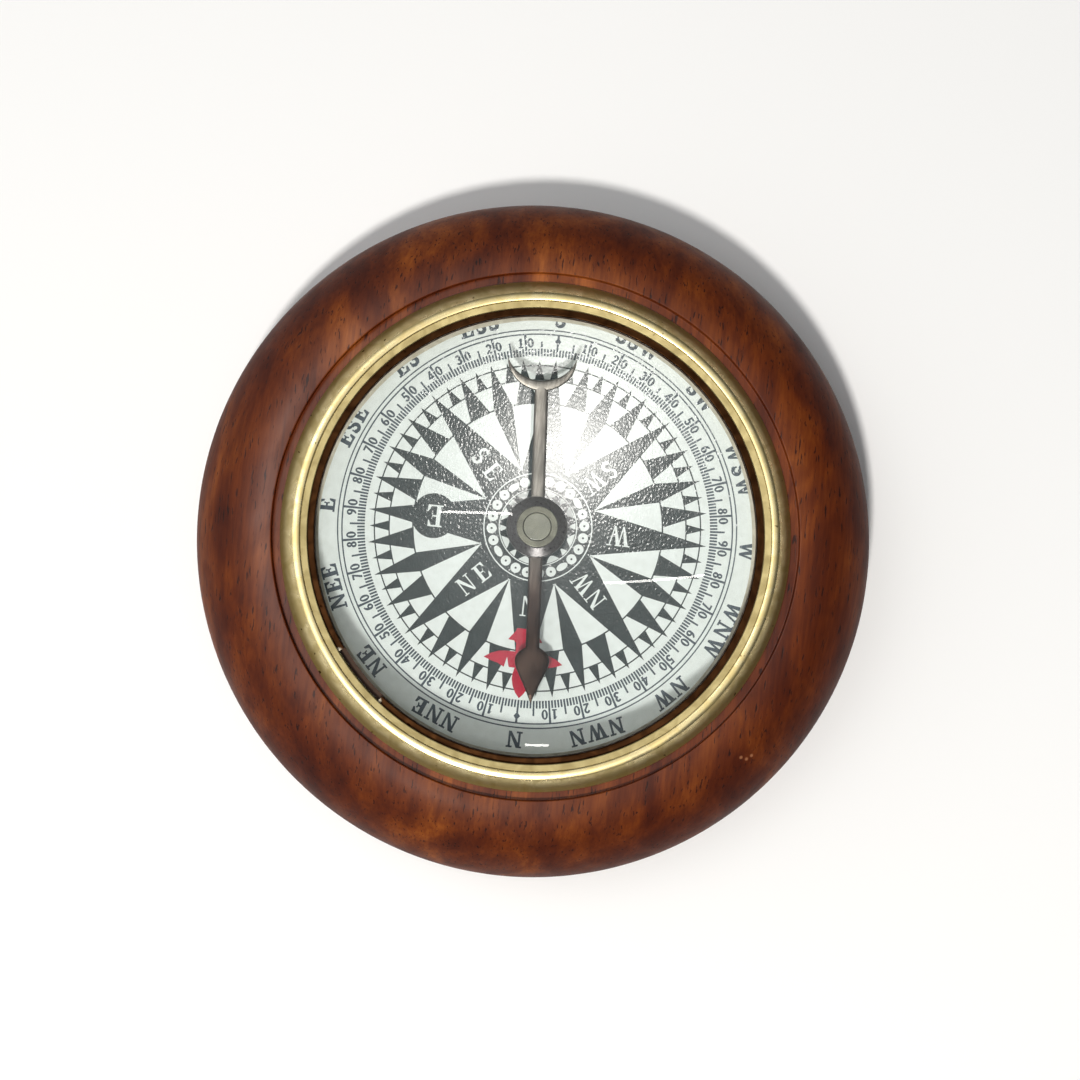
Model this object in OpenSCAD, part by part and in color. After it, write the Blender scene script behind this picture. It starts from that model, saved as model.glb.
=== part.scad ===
// Desk compass: a turned wooden case with a brass bowl, a fixed compass card,
// a needle that swings on a jewel, and a domed magnifying glass under a brass bezel.
// Z is up, the felt's underside is z = 0 and the case's axis is x = y = 0. +Y is the card's north.

/* [Domed glass] */
// Diameter of the domed part of the glass
dome_d = 63.4; // [48:0.1:80]
// Height of the dome above its flat rim
dome_h = 8.8; // [5:0.1:12]
// Width of the flat rim around the dome
glass_land = 1; // [0.6:0.1:2]
// Thickness of the glass at its rim
glass_rim_t = 1.8; // [1.2:0.1:3]
// Thickness of the gasket under the glass
gasket_t = 0.6; // [0.3:0.1:1]

/* [Spring ring] */
// Thickness of the split ring that holds the glass down
ring_t = 0.9; // [0.5:0.1:1.5]
// Depth of the groove in the bowl that the ring springs into
groove_depth = 0.45; // [0.2:0.05:0.6]
// Angle that the split leaves open
split_angle = 15.8; // [5:0.1:30]
// Direction of the middle of the split
split_at = 44.7; // [0:0.1:360]

/* [Bowl] */
// Wall of the brass bowl
bowl_wall = 0.95; // [0.8:0.05:2]
// Floor of the brass bowl
bowl_floor_t = 1.6; // [1.2:0.1:3]
// How far the bowl stands above the case's ledge
bowl_proud = 2.1; // [1.4:0.1:2.6]
// Brass left above the groove of the spring ring
groove_lip = 0.8; // [0.2:0.05:1]

/* [Bezel] */
// Width of the bezel around the bowl
bezel_w = 3; // [2.4:0.1:4]
// Radius of the bezel's rounded crest
crest_r = 1; // [0.7:0.05:1.2]
// Distance of the crest from the bezel's inner edge
crest_in = 0.6; // [0.3:0.05:0.65]
// Straight foot under the bezel's slope
foot_h = 0.3; // [0.2:0.1:0.6]
// Wall of the bezel's sleeve
sleeve_wall = 1.2; // [0.6:0.1:2]
// Length of the bezel's sleeve below the ledge
sleeve_len = 5; // [2:0.5:8]

/* [Case] */
// Height of the wooden case
case_h = 24; // [20:0.5:36]
// Width of the wooden rim outside the step
rim_w = 12; // [9:0.1:18]
// Radius of the rounded rim, above and below
edge_round = 11.8; // [5:0.1:14]
// Height of the step inside the rim
step_h = 1.3; // [0.6:0.1:2.5]
// Chamfer on the step's upper edge
step_chamfer = 0.3; // [0.1:0.05:0.5]
// Width of the ledge that shows between bezel and rim
ledge_w = 1.2; // [0.5:0.1:3]

/* [Felt] */
// Thickness of the felt disc
felt_t = 1.5; // [1:0.1:3]
// How far the felt stands below the wood
felt_proud = 0.8; // [0.3:0.1:0.9]
// Wood left flat around the felt
felt_margin = 1.7; // [0.5:0.1:4]

/* [Card and pivot] */
// Thickness of the plate that backs the card
plate_t = 1; // [0.6:0.1:2]
// Thickness of the printed card
card_t = 0.3; // [0.2:0.05:0.6]
// Width of the rolled card strip that holds the printed card down and the glass up
spacer_w = 1.85; // [1:0.05:4]
// How far the pivot stands off the case's axis, towards the card's east
pivot_x = 0; // [-2:0.1:2]
// How far the pivot stands off the case's axis, towards the card's north
pivot_y = -1.2; // [-2.5:0.1:2.5]
// Diameter of the pivot post
post_d = 2.8; // [2.2:0.1:3.4]
// Diameter of the post's flange on the card
flange_d = 6; // [4:0.1:8]
// Thickness of the post's flange
flange_t = 0.8; // [0.5:0.1:1.2]
// Diameter of the steel pin
pin_d = 0.9; // [0.6:0.05:1.2]
// Length of the pin's point
point_len = 1; // [0.6:0.1:1.4]
// Radius of the blunt end left on points
point_flat_r = 0.05; // [0.02:0.01:0.1]
// Length of the pin inside the post
pin_seat = 1.4; // [0.8:0.1:2]

/* [Pivot fasteners] */
// Width across the flats of the nut
nut_flats = 5.5; // [4.5:0.1:7]
// Height of the nut
nut_h = 2; // [1.2:0.1:3]
// Outer diameter of the washer
washer_d = 7; // [5.5:0.1:9]
// Thickness of the washer
washer_t = 0.5; // [0.3:0.1:1]
// How far the post's stud stands out of the nut
stud_proud = 0.5; // [0.2:0.1:1]
// Room left around the washer in the case's pocket
pocket_gap = 2; // [1:0.5:4]
// Room left under the stud in the case's pocket
pocket_room = 0.5; // [0.3:0.1:1]

/* [Bowl screws] */
// Number of screws that hold the bowl
screw_count = 3; // [2:1:6]
// Diameter of the circle the screws lie on
screw_circle_d = 44; // [30:1:50]
// Diameter of the screw's shank
screw_d = 2.2; // [1.6:0.1:3]
// Diameter of the countersunk head
screw_head_d = 4.2; // [3.6:0.1:5.5]
// Height of the countersunk head
screw_head_h = 1; // [0.8:0.1:1.1]
// Length of the screw
screw_len = 7.5; // [5:0.5:9]
// Width of the driver slot
slot_w = 0.5; // [0.3:0.05:0.8]
// Depth of the driver slot
slot_depth = 0.45; // [0.2:0.05:0.6]

/* [Needle] */
// Angle that the needle rests at, from the card's north
needle_rest = 4.3; // [0:0.1:359]
// Height of the needle's underside above the card
needle_rise = 4.2; // [3:0.1:7]
// Thickness of the needle
blade_t = 0.6; // [0.4:0.05:0.8]
// Distance from the pivot to the needle's tip
tip_r = 24; // [18:0.1:26]
// Width of the needle's shaft
shaft_w = 1.85; // [1.2:0.05:2.4]
// Width of the spade head
head_w = 4.6; // [3:0.1:6]
// Length of the spade head
head_len = 7.9; // [5:0.1:9]
// Radius of the crescent's outer edge
crescent_r = 4.75; // [3:0.05:4.9]
// Radius of the crescent's inner edge
crescent_in_r = 5; // [4.9:0.1:6]
// Width of the crescent at its middle
crescent_w = 1.45; // [0.8:0.05:2]
// Distance from the pivot to the middle of the crescent's outer edge circle
crescent_at = 23.4; // [16:0.1:24]

/* [Needle hub] */
// Diameter of the hub's conical skirt
skirt_d = 8.2; // [7:0.1:10]
// Height of the conical skirt
skirt_h = 1.4; // [1:0.1:2]
// Diameter of the hub's spigot through the needle
spigot_d = 4.2; // [3.6:0.1:5]
// Length of spigot peened over below the washer
peen_h = 0.15; // [0.1:0.05:0.4]
// Thickness of the washer under the needle
hub_washer_t = 0.3; // [0.2:0.05:0.6]
// Outer diameter of the washer under the needle
hub_washer_d = 6; // [5.4:0.1:7]
// Diameter of the bore that clears the pin
hub_bore_d = 3; // [2.4:0.1:3.2]

/* [Jewel] */
// Diameter of the jewel
jewel_d = 3.7; // [3.4:0.1:3.8]
// Height of the jewel
jewel_h = 1.2; // [1:0.05:1.3]
// Depth of the cup under the jewel
cup_depth = 0.7; // [0.4:0.05:0.8]
// Width of the cup's mouth
cup_d = 1.8; // [1.4:0.1:2.2]
// Diameter of the bright flange around the jewel
setting_d = 5.6; // [5:0.1:6]
// Thickness of the bright flange
setting_t = 0.3; // [0.2:0.05:0.5]
// How far the jewel lies below the flange
jewel_sink = 0.1; // [0.05:0.05:0.3]

/* [Clearances] */
// Around the pieces that lie in the bowl
glass_gap = 0.1; // [0.05:0.05:0.3]
// Between the bowl and the bezel's sleeve, for the thread
thread_gap = 0.05; // [0.02:0.01:0.1]
// Around the bezel's sleeve in the case
recess_gap = 0.15; // [0.05:0.05:0.4]
// Around studs, pins and spigots in their holes
hole_gap = 0.05; // [0.02:0.01:0.1]
// Between the needle's hub and the glass
head_gap = 1.1; // [0.6:0.1:3]
// Between the pin's point and the jewel
point_gap = 0.1; // [0.06:0.01:0.2]
// Between the post and the needle's hub
post_gap = 0.7; // [0.5:0.1:1]

/* [Hidden] */
$fn = 96;

// Extra length that carries a cut clear of a face
through = 1;
// Least flat or straight stretch beside a rounded edge
least_flat = 0.2;

// Radii, from the glass outwards
dome_r = dome_d / 2;
dome_sphere_r = (dome_r * dome_r + dome_h * dome_h) / (2 * dome_h);
glass_r = dome_r + glass_land;
bowl_in_r = glass_r + glass_gap;
bowl_out_r = bowl_in_r + bowl_wall;
groove_r = bowl_in_r + groove_depth;
sleeve_in_r = bowl_out_r + thread_gap;
sleeve_out_r = sleeve_in_r + sleeve_wall;
recess_r = sleeve_out_r + recess_gap;
crest_mid_r = sleeve_in_r + crest_in;
bezel_r = sleeve_in_r + bezel_w;
step_r = bezel_r + ledge_w;
case_r = step_r + rim_w;
edge_r = min(edge_round, rim_w - least_flat, case_h / 2 - least_flat);
edge_mid_r = case_r - edge_r;
felt_r = edge_mid_r - felt_margin;

// Heights of the case, from the felt upwards
case_z = felt_proud;
case_top_z = case_z + case_h;
ledge_z = case_top_z - step_h;
bowl_top_z = ledge_z + bowl_proud;
crest_mid_z = bowl_top_z - sqrt(crest_r * crest_r - crest_in * crest_in);

// The bezel's slope, from the top of its foot to where it meets the crest
foot_z = ledge_z + foot_h;
slope_run = crest_mid_r - bezel_r;
slope_rise = crest_mid_z - foot_z;
slope_normal = atan2(slope_rise, slope_run) - asin(crest_r / norm([slope_run, slope_rise])) - 90;

// Heights of what is stacked in the bowl, from the top of the bowl downwards
hub_h = skirt_h + setting_t;
glass_land_z = bowl_top_z - groove_lip - glass_gap - ring_t;
glass_z = glass_land_z - glass_rim_t;
gasket_z = glass_z - gasket_t;
hub_top_z = glass_z - head_gap;
blade_top_z = hub_top_z - hub_h;
blade_z = blade_top_z - blade_t;
card_top_z = blade_z - needle_rise;
card_z = card_top_z - card_t;
plate_z = card_z - plate_t;
bowl_z = plate_z - bowl_floor_t;
spacer_h = gasket_z - card_top_z;

// Heights on the pivot
jewel_top_z = hub_top_z - jewel_sink;
jewel_z = jewel_top_z - jewel_h;
point_z = jewel_z + cup_depth - point_gap;
setting_z = jewel_z - setting_t;
spigot_z = blade_z - hub_washer_t - peen_h;
post_top_z = spigot_z - post_gap;
washer_z = bowl_z - washer_t;
nut_z = washer_z - nut_h;
stud_z = nut_z - stud_proud;
pocket_z = stud_z - pocket_room;
pocket_r = washer_d / 2 + pocket_gap;
post_r = post_d / 2;
pin_r = pin_d / 2;

// The needle's own outline
head_r = head_w / 2;
head_mid = tip_r - head_len + head_r;
head_half_angle = asin(head_r / (tip_r - head_mid));
eye_r = skirt_d / 2 - least_flat;
crescent_in_at = crescent_at - crescent_r + crescent_w + crescent_in_r;
tail_len = crescent_at - crescent_r + crescent_w / 2;

// A ring with a round bore, standing on the XY plane
module tube(outer_r, inner_r, h) {
  difference() {
    cylinder(r = outer_r, h = h);
    translate([0, 0, -through]) cylinder(r = inner_r, h = h + 2 * through);
  }
}

// Puts its children on the pivot's axis, off the axis of the case
module on_pivot() {
  translate([pivot_x, pivot_y, 0]) children();
}

// Puts its children at each of the bowl's screws
module at_screws() {
  for (i = [0 : screw_count - 1])
    rotate([0, 0, 360 * i / screw_count]) translate([screw_circle_d / 2, 0, 0]) children();
}

// Half of the case's section: a slab whose outer edge is rounded above and below
module case_section() {
  translate([0, case_z]) square([edge_mid_r, case_h]);
  translate([0, case_z + edge_r]) square([case_r, case_h - 2 * edge_r]);
  for (z = [case_z + edge_r, case_top_z - edge_r])
    translate([edge_mid_r, z]) circle(r = edge_r);
}

module wood_body() {
  color([0.36, 0.15, 0.07])
  difference() {
    rotate_extrude() case_section();
    // Ledge for the bezel, with the chamfered step around it
    translate([0, 0, ledge_z]) cylinder(r = step_r, h = step_h + through);
    translate([0, 0, case_top_z - step_chamfer])
      cylinder(r1 = step_r, r2 = step_r + step_chamfer + through, h = step_chamfer + through);
    // Recess for the bowl and the bezel's sleeve
    translate([0, 0, bowl_z]) cylinder(r = recess_r, h = case_h);
    // Pocket for the nut
    on_pivot() translate([0, 0, pocket_z]) cylinder(r = pocket_r, h = case_h);
    // Pilot holes for the screws
    at_screws() translate([0, 0, plate_z - screw_len - through / 2])
      cylinder(r = screw_d / 2 + hole_gap, h = screw_len);
    // Seat of the felt
    translate([0, 0, -through]) cylinder(r = felt_r + glass_gap, h = felt_t + through);
  }
}

module base_felt() {
  color([0.10, 0.20, 0.13]) cylinder(r = felt_r, h = felt_t);
}

module compass_bowl() {
  color([0.72, 0.58, 0.28])
  difference() {
    translate([0, 0, bowl_z]) cylinder(r = bowl_out_r, h = bowl_top_z - bowl_z);
    translate([0, 0, plate_z]) cylinder(r = bowl_in_r, h = bowl_top_z);
    translate([0, 0, glass_land_z]) cylinder(r = groove_r, h = ring_t + glass_gap);
    on_pivot() translate([0, 0, bowl_z - through])
      cylinder(r = post_r + hole_gap, h = bowl_floor_t + 2 * through);
    at_screws() translate([0, 0, bowl_z - through])
      cylinder(r = screw_d / 2 + hole_gap, h = bowl_floor_t + 2 * through);
    at_screws() translate([0, 0, plate_z - screw_head_h])
      cylinder(r1 = screw_d / 2 + hole_gap, r2 = screw_head_d / 2 + hole_gap, h = screw_head_h);
  }
}

module bowl_screw() {
  difference() {
    union() {
      translate([0, 0, -screw_head_h])
        cylinder(r1 = screw_d / 2, r2 = screw_head_d / 2, h = screw_head_h);
      translate([0, 0, screw_d - screw_len])
        cylinder(r = screw_d / 2, h = screw_len - screw_d - screw_head_h / 2);
      translate([0, 0, -screw_len]) cylinder(r1 = point_flat_r, r2 = screw_d / 2, h = screw_d);
    }
    translate([-screw_head_d, -slot_w / 2, -slot_depth])
      cube([2 * screw_head_d, slot_w, slot_depth + through]);
  }
}

module bowl_screws() {
  color([0.66, 0.55, 0.30]) at_screws() translate([0, 0, plate_z]) bowl_screw();
}

// A disc that fills the bowl and lets the pivot post through
module pivot_disc(t) {
  difference() {
    cylinder(r = glass_r, h = t);
    on_pivot() translate([0, 0, -through]) cylinder(r = post_r + hole_gap, h = t + 2 * through);
  }
}

module dial_plate() {
  color([0.70, 0.56, 0.27]) translate([0, 0, plate_z]) pivot_disc(plate_t);
}

module compass_card() {
  color([0.88, 0.90, 0.88]) translate([0, 0, card_z]) pivot_disc(card_t);
}

module pivot_post() {
  color([0.74, 0.60, 0.30])
  on_pivot() difference() {
    union() {
      translate([0, 0, stud_z]) cylinder(r = post_r, h = post_top_z - stud_z);
      translate([0, 0, card_top_z]) cylinder(r = flange_d / 2, h = flange_t);
    }
    translate([0, 0, post_top_z - pin_seat]) cylinder(r = pin_r + hole_gap, h = pin_seat + through);
  }
}

module pivot_pin() {
  color([0.45, 0.46, 0.48])
  on_pivot() {
    translate([0, 0, post_top_z - pin_seat])
      cylinder(r = pin_r, h = point_z - point_len - post_top_z + pin_seat);
    translate([0, 0, point_z - point_len]) cylinder(r1 = pin_r, r2 = point_flat_r, h = point_len);
  }
}

module pivot_washer() {
  color([0.70, 0.56, 0.27])
  on_pivot() translate([0, 0, washer_z]) tube(washer_d / 2, post_r + hole_gap, washer_t);
}

module pivot_nut() {
  color([0.70, 0.56, 0.27])
  on_pivot() translate([0, 0, nut_z]) difference() {
    cylinder(d = nut_flats / cos(30), h = nut_h, $fn = 6);
    translate([0, 0, -through]) cylinder(r = post_r + hole_gap, h = nut_h + 2 * through);
  }
}

module spacer_ring() {
  color([0.80, 0.78, 0.70]) translate([0, 0, card_top_z]) tube(glass_r, glass_r - spacer_w, spacer_h);
}

module glass_gasket() {
  color([0.12, 0.09, 0.07]) translate([0, 0, gasket_z]) tube(glass_r, dome_r, gasket_t);
}

module domed_glass() {
  color([0.85, 0.92, 0.92, 0.35]) {
    translate([0, 0, glass_z]) cylinder(r = glass_r, h = glass_rim_t);
    intersection() {
      translate([0, 0, glass_land_z + dome_h - dome_sphere_r]) sphere(r = dome_sphere_r);
      translate([0, 0, glass_land_z]) cylinder(r = glass_r, h = dome_h + through);
    }
  }
}

module retaining_ring() {
  wedge_r = 2 * glass_r;
  half_split = split_angle / 2;
  color([0.20, 0.11, 0.05])
  translate([0, 0, glass_land_z]) difference() {
    tube(groove_r - glass_gap, dome_r + glass_gap, ring_t);
    rotate([0, 0, split_at]) translate([0, 0, -through]) linear_extrude(height = ring_t + 2 * through)
      polygon([
        [0, 0],
        [wedge_r, -wedge_r * tan(half_split)],
        [wedge_r, wedge_r * tan(half_split)]
      ]);
  }
}

// Half of the bezel's section: the sleeve, a foot on the ledge, a slope and a rounded crest beside the bowl
module bezel_section() {
  translate([sleeve_in_r, ledge_z - sleeve_len]) square([sleeve_wall, sleeve_len + foot_h]);
  polygon([
    [sleeve_in_r, ledge_z],
    [bezel_r, ledge_z],
    [bezel_r, foot_z],
    [crest_mid_r + crest_r * cos(slope_normal), crest_mid_z + crest_r * sin(slope_normal)],
    [crest_mid_r, crest_mid_z],
    [sleeve_in_r, crest_mid_z]
  ]);
  intersection() {
    translate([crest_mid_r, crest_mid_z]) circle(r = crest_r);
    translate([sleeve_in_r, ledge_z]) square([bezel_w, bowl_proud + crest_r]);
  }
}

module brass_bezel() {
  color([0.78, 0.64, 0.30]) rotate_extrude() bezel_section();
}

// The needle seen from above, with its tip on +Y: eye, shaft, spade head and crescent tail
module needle_outline() {
  circle(r = eye_r);
  translate([-shaft_w / 2, -tail_len]) square([shaft_w, tail_len + head_mid]);
  translate([0, head_mid]) circle(r = head_r);
  polygon([
    [0, tip_r],
    [-head_r * cos(head_half_angle), head_mid + head_r * sin(head_half_angle)],
    [head_r * cos(head_half_angle), head_mid + head_r * sin(head_half_angle)]
  ]);
  difference() {
    translate([0, -crescent_at]) circle(r = crescent_r);
    translate([0, -crescent_in_at]) circle(r = crescent_in_r);
  }
}

module needle_blade() {
  color([0.20, 0.16, 0.14])
  on_pivot() translate([0, 0, blade_z]) rotate([0, 0, needle_rest]) difference() {
    linear_extrude(height = blade_t) needle_outline();
    translate([0, 0, -through]) cylinder(r = spigot_d / 2 + hole_gap, h = blade_t + 2 * through);
  }
}

module hub_washer() {
  color([0.30, 0.28, 0.27])
  on_pivot() translate([0, 0, blade_z - hub_washer_t])
    tube(hub_washer_d / 2, spigot_d / 2 + hole_gap, hub_washer_t);
}

module needle_hub() {
  color([0.24, 0.23, 0.23])
  on_pivot() difference() {
    union() {
      translate([0, 0, blade_top_z])
        cylinder(r1 = skirt_d / 2, r2 = setting_d / 2, h = skirt_h);
      translate([0, 0, spigot_z]) cylinder(r = spigot_d / 2, h = blade_top_z - spigot_z + skirt_h / 2);
    }
    translate([0, 0, spigot_z - through]) cylinder(r = hub_bore_d / 2, h = hub_top_z);
    translate([0, 0, setting_z]) cylinder(r = jewel_d / 2 + setting_t + hole_gap, h = hub_top_z);
  }
}

module jewel_setting() {
  color([0.62, 0.60, 0.52])
  on_pivot() difference() {
    union() {
      translate([0, 0, setting_z]) cylinder(r = jewel_d / 2 + setting_t, h = hub_top_z - setting_z);
      translate([0, 0, hub_top_z - setting_t]) cylinder(r = setting_d / 2, h = setting_t);
    }
    translate([0, 0, setting_z - through]) cylinder(r = hub_bore_d / 2, h = hub_top_z);
    translate([0, 0, jewel_z]) cylinder(r = jewel_d / 2 + hole_gap, h = hub_top_z);
  }
}

module bearing_jewel() {
  color([0.50, 0.51, 0.44])
  on_pivot() difference() {
    translate([0, 0, jewel_z]) cylinder(r = jewel_d / 2, h = jewel_h);
    translate([0, 0, jewel_z - through])
      cylinder(r1 = cup_d / 2 * (1 + through / cup_depth), r2 = 0, h = cup_depth + through);
  }
}

wood_body();
base_felt();
compass_bowl();
bowl_screws();
dial_plate();
compass_card();
pivot_post();
pivot_pin();
pivot_washer();
pivot_nut();
spacer_ring();
glass_gasket();
domed_glass();
retaining_ring();
brass_bezel();
needle_blade();
hub_washer();
needle_hub();
jewel_setting();
bearing_jewel();
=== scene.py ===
"""The looks of a desk compass: a turned wooden case with a brass bowl, a printed card,
a needle that swings on a jewel, and a domed magnifying glass inside a brass bezel."""

import bpy
import numpy as np
from mathutils import Matrix, Vector


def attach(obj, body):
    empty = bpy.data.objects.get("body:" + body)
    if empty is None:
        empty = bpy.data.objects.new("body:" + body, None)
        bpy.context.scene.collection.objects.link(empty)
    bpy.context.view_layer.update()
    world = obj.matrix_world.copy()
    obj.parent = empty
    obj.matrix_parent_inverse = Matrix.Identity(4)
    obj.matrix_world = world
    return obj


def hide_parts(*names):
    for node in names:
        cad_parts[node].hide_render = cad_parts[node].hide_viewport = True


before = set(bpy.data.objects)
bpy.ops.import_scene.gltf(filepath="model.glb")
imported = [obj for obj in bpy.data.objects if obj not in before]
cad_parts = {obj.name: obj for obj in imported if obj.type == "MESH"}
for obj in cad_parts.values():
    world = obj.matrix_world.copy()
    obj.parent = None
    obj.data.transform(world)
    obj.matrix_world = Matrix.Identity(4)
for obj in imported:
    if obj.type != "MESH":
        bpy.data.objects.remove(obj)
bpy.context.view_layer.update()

# Camera: it looks down on the dial from about 30 cm, leaning a little towards the card's
# north, which lies at the bottom of the picture
mm = 0.001
eye = Vector((6.64, 16.68, 323.46)) * mm
aim = Vector((-0.60, 0.60, 24.0)) * mm
picture_up = Vector((0.110, -0.994, 0.0))
lens_mm = 69.5
sensor_mm = 36.0
backwards = (eye - aim).normalized()
rightwards = picture_up.cross(backwards).normalized()
upwards = backwards.cross(rightwards)
camera_data = bpy.data.cameras.new("camera")
camera_data.lens = lens_mm
camera_data.sensor_width = sensor_mm
camera = bpy.data.objects.new("camera", camera_data)
camera_turn = Matrix((rightwards, upwards, backwards)).transposed().to_4x4()
camera.matrix_world = Matrix.Translation(eye) @ camera_turn
bpy.context.scene.collection.objects.link(camera)
bpy.context.scene.camera = camera
bpy.context.scene.view_settings.view_transform = "Standard"


# Studio: a pale floor, a sky that is brightest overhead and on the card's east, a lamp above the
# card's north and a softer one on its east, small lamps for the hub, the needle, the rim's sheen
# and the gloss of the print, and ceiling tubes that the domed glass mirrors
def put(tree, kind, inputs, **settings):
    """Adds a node. Inputs gives each socket, by name or identifier, a value or another socket."""
    node = tree.nodes.new(kind)
    for name, value in settings.items():
        setattr(node, name, value)
    for name, value in inputs.items():
        found = [s for s in node.inputs if name in (s.identifier, s.name)]
        if isinstance(value, bpy.types.NodeSocket):
            tree.links.new(value, found[0])
        else:
            found[0].default_value = value
    return node


def tone(red, green, blue):
    """A display colour of 0 to 255 as the linear colour that shaders take."""
    share = np.array([red, green, blue]) / 255
    low = share / 12.92
    high = ((share + 0.055) / 1.055) ** 2.4
    return (*np.where(share < 0.04045, low, high).tolist(), 1.0)


def finish_of(name, settings):
    """A material with one Principled shader, its constant settings on the sockets."""
    made = bpy.data.materials.new(name)
    made.use_nodes = True
    tree = made.node_tree
    tree.nodes.clear()
    shader = put(tree, "ShaderNodeBsdfPrincipled", settings)
    put(tree, "ShaderNodeOutputMaterial", {"Surface": shader.outputs[0]})
    return made, tree, shader


def add_mesh(name, *shapes):
    """Joins grids of points into one object. A shape is an array of copies, rows and columns
    of points, with whether its rows and its columns close on themselves. Four neighbours make
    a face, points of a copy that share a place become one, and a copy that encloses a negative
    volume has its faces turned round, so that all of them point outwards."""
    same_place = 1e-8
    crease_degrees = 38
    points = []
    keys = []
    faces = []
    copies_before = 0
    points_before = 0
    for grid, rows_close, columns_close in shapes:
        copies, rows, columns = grid.shape[:3]
        index = np.arange(rows * columns).reshape(rows, columns)
        if rows_close:
            index = np.vstack([index, index[:1]])
        if columns_close:
            index = np.hstack([index, index[:, :1]])
        corners = [index[:-1, :-1], index[:-1, 1:], index[1:, 1:], index[1:, :-1]]
        quads = np.stack(corners, -1).reshape(-1, 4)
        flat = grid.reshape(copies, -1, 3)
        a, b, c, d = (flat[:, quads[:, i]] for i in range(4))
        volume = (a * (np.cross(b, c) + np.cross(c, d))).sum((1, 2))
        turned_quads = np.where(volume[:, None, None] < 0, quads[:, ::-1], quads)
        first_point = points_before + np.arange(copies) * rows * columns
        faces.append((turned_quads + first_point[:, None, None]).reshape(-1, 4))
        place = np.round(flat / same_place).astype(np.int64)
        copy_number = np.arange(copies_before, copies_before + copies)
        marked = np.broadcast_to(copy_number[:, None, None], flat.shape[:2] + (1,))
        keys.append(np.concatenate([place, marked], -1).reshape(-1, 4))
        points.append(flat.reshape(-1, 3))
        copies_before += copies
        points_before += copies * rows * columns
    _, first, same = np.unique(np.concatenate(keys), axis=0, return_index=True, return_inverse=True)
    corners = same.reshape(-1)[np.concatenate(faces)]
    kept = corners != np.roll(corners, -1, 1)
    real = kept.sum(1) > 2
    corners = corners[real]
    kept = kept[real]
    sizes = kept.sum(1)
    mesh = bpy.data.meshes.new(name)
    mesh.vertices.add(len(first))
    mesh.vertices.foreach_set("co", np.concatenate(points)[first].ravel())
    mesh.loops.add(int(sizes.sum()))
    mesh.loops.foreach_set("vertex_index", corners[kept])
    mesh.polygons.add(len(sizes))
    mesh.polygons.foreach_set("loop_start", np.cumsum(sizes) - sizes)
    mesh.update(calc_edges=True)
    mesh.validate()
    mesh.polygons.foreach_set("use_smooth", np.ones(len(mesh.polygons), bool))
    mesh.set_sharp_from_angle(angle=np.radians(crease_degrees))
    made = bpy.data.objects.new(name, mesh)
    bpy.context.scene.collection.objects.link(made)
    return made


def spread(tree, value, low, high, to_low, to_high, way="LINEAR"):
    """Stretches a value's range from low and high to new limits, and holds it there."""
    inputs = {"Value": value, "From Min": low, "From Max": high, "To Min": to_low, "To Max": to_high}
    return put(tree, "ShaderNodeMapRange", inputs, interpolation_type=way).outputs[0]


def reckon(tree, operation, *values):
    """Works out one operation on up to three sockets or numbers."""
    inputs = dict(zip(("Value", "Value_001", "Value_002"), values))
    return put(tree, "ShaderNodeMath", inputs, operation=operation).outputs[0]


def own_place(tree):
    """The place on an object, in its own coordinates."""
    return put(tree, "ShaderNodeTexCoord", {}).outputs["Object"]


def axis_distance(tree, x=0.0, y=0.0):
    """The distance from an upright axis, which stands at a place in millimetres."""
    inputs = {"Vector": own_place(tree), "Location": (-x * mm, -y * mm, 0), "Scale": (1, 1, 0)}
    level = put(tree, "ShaderNodeMapping", inputs)
    length = put(tree, "ShaderNodeVectorMath", {"Vector": level.outputs[0]}, operation="LENGTH")
    return length.outputs["Value"]


def blended(tree, share, shader, other):
    """Mixes a material's shader with another one, by a share of the other."""
    inputs = {"Fac": share, "Shader": shader.outputs[0], "Shader_001": other.outputs[0]}
    mix = put(tree, "ShaderNodeMixShader", inputs)
    out = next(n for n in tree.nodes if n.type == "OUTPUT_MATERIAL")
    tree.links.new(mix.outputs[0], out.inputs["Surface"])


backdrop = 0.9
backdrop_tone = tone(252, 254, 255)
floor_inner_r = 300.0
floor_r = 3000.0
floor_finish, floor_tree, floor_shader = finish_of(
    "floor", {"Base Color": tone(248, 248, 248), "Roughness": 0.9}
)
floor_fade = spread(floor_tree, axis_distance(floor_tree), 0.2, 0.9, 0.0, 1.0)
floor_path = put(floor_tree, "ShaderNodeLightPath", {})
floor_share = reckon(floor_tree, "MULTIPLY", floor_fade, floor_path.outputs["Is Camera Ray"])
floor_far = put(floor_tree, "ShaderNodeEmission", {"Color": backdrop_tone, "Strength": backdrop})
blended(floor_tree, floor_share, floor_shader, floor_far)
floor_edge = np.linspace(0, 2 * np.pi, 96, endpoint=False)
floor_rings = np.array([0.0, floor_inner_r, floor_r])[:, None]
floor_x = floor_rings * np.cos(floor_edge)
floor_y = -floor_rings * np.sin(floor_edge)
floor_grid = np.stack([floor_x, floor_y, 0 * floor_x], -1) * mm
floor = add_mesh("floor", (floor_grid[None], False, True))
floor.data.materials.append(floor_finish)

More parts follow.
